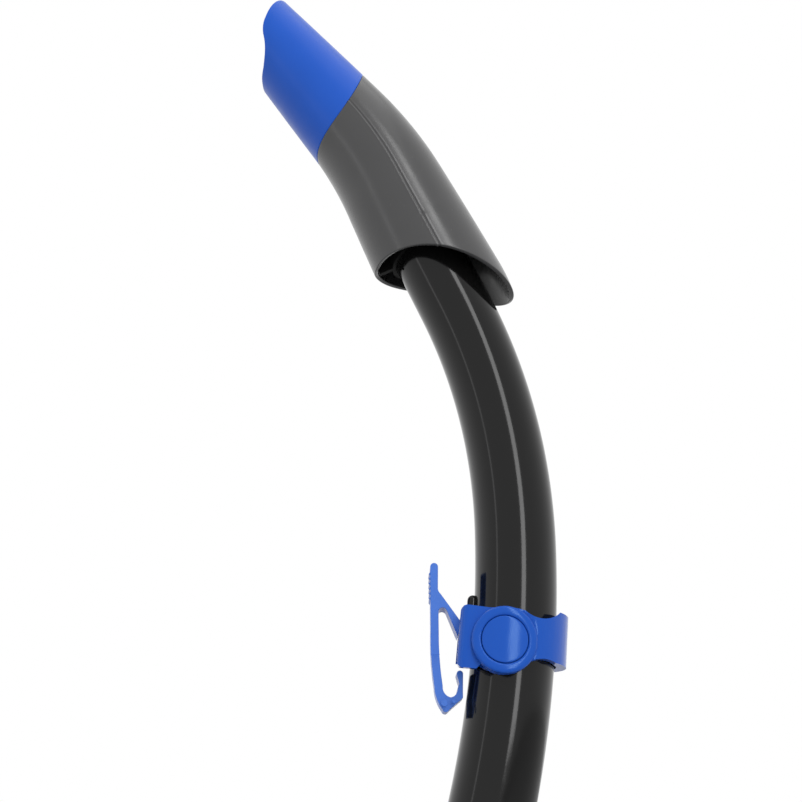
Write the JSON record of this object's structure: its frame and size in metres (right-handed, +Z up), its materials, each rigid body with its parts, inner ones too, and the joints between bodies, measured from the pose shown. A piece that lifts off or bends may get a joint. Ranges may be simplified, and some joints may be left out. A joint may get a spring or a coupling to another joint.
{
  "type": "snorkel tube",
  "caption": "Curved oval snorkel with a splash cowl and side-facing cap, a sliding strap keeper with a lever clip, a corrugated hose, a purge chamber and a mouthpiece.",
  "frame": {"origin": "centre of the slot between the clip's bar and the keeper, where the mask strap passes", "axes": "+Z up along the tube as worn, +X away from the diver's head, +Y the mask strap's direction through the slot"},
  "size_m": [0.1939, 0.062, 0.437],
  "materials": {
    "tube_black": "glossy black moulding, smooth",
    "cowl_grey": "satin dark grey moulding",
    "cap_blue": "glossy royal blue moulding",
    "spacer_black": "black moulding",
    "deflector_black": "black moulding",
    "keeper_blue": "glossy royal blue moulding",
    "disc_blue": "bare blue inlay",
    "clip_blue": "blue lever, slightly flexible",
    "hose_black": "soft black silicone rubber, matt",
    "ring_black": "black band",
    "housing_black": "glossy black moulding",
    "seat_black": "black spoked seat",
    "seal_rubber": "soft gasket",
    "flap_silicone": "pale silicone disc",
    "cover_blue": "slotted blue cap",
    "mouthpiece_silicone": "soft black silicone",
    "tie_black": "nylon band with a lock head"
  },
  "bodies": {
    "barrel": {"tube": "tube_black", "cowl": "cowl_grey", "splash_cap": "cap_blue", "cowl_spacer": "spacer_black", "deflector": "deflector_black", "hose": "hose_black", "hose_ring_upper": "ring_black"},
    "keeper": {"keeper_collar": "keeper_blue", "keeper_disc": "disc_blue"},
    "clip": {"strap_clip": "clip_blue"},
    "chamber": {"purge_housing": "housing_black", "valve_seat": "seat_black", "purge_seal": "seal_rubber", "purge_cover": "cover_blue", "hose_ring_lower": "ring_black"},
    "flap": {"purge_flap": "flap_silicone"},
    "bite": {"mouthpiece": "mouthpiece_silicone", "mouthpiece_tie": "tie_black"}
  },
  "joints": [
    {"name": "keeper_travel", "type": "hinge", "parent": "barrel", "child": "keeper", "pos_m": [-0.33635, 0, 0.038], "axis": [0, 1, 0], "range_deg": [0, 7.5]},
    {"name": "clip_lever", "type": "hinge", "parent": "keeper", "child": "clip", "pos_m": [0.00454, 0, 0.007], "axis": [0, 1, 0], "range_deg": [0, 12]},
    {"name": "hose_flex", "type": "hinge", "parent": "barrel", "child": "chamber", "pos_m": [-0.0715, 0, -0.07886], "axis": [0, 1, 0], "range_deg": [-15, 15], "stiffness_Nm_per_rad": 1, "deforming": ["hose"]},
    {"name": "mouthpiece_swivel", "type": "hinge", "parent": "chamber", "child": "bite", "pos_m": [-0.08764, 0, -0.15773], "axis": [-0.9659, 0, 0.2588], "range_deg": [-30, 30]},
    {"name": "purge_lift", "type": "slide", "parent": "chamber", "child": "flap", "axis": [0, 0, -1], "range_m": [0, 0.0012], "stiffness_N_per_m": 200}
  ]
}
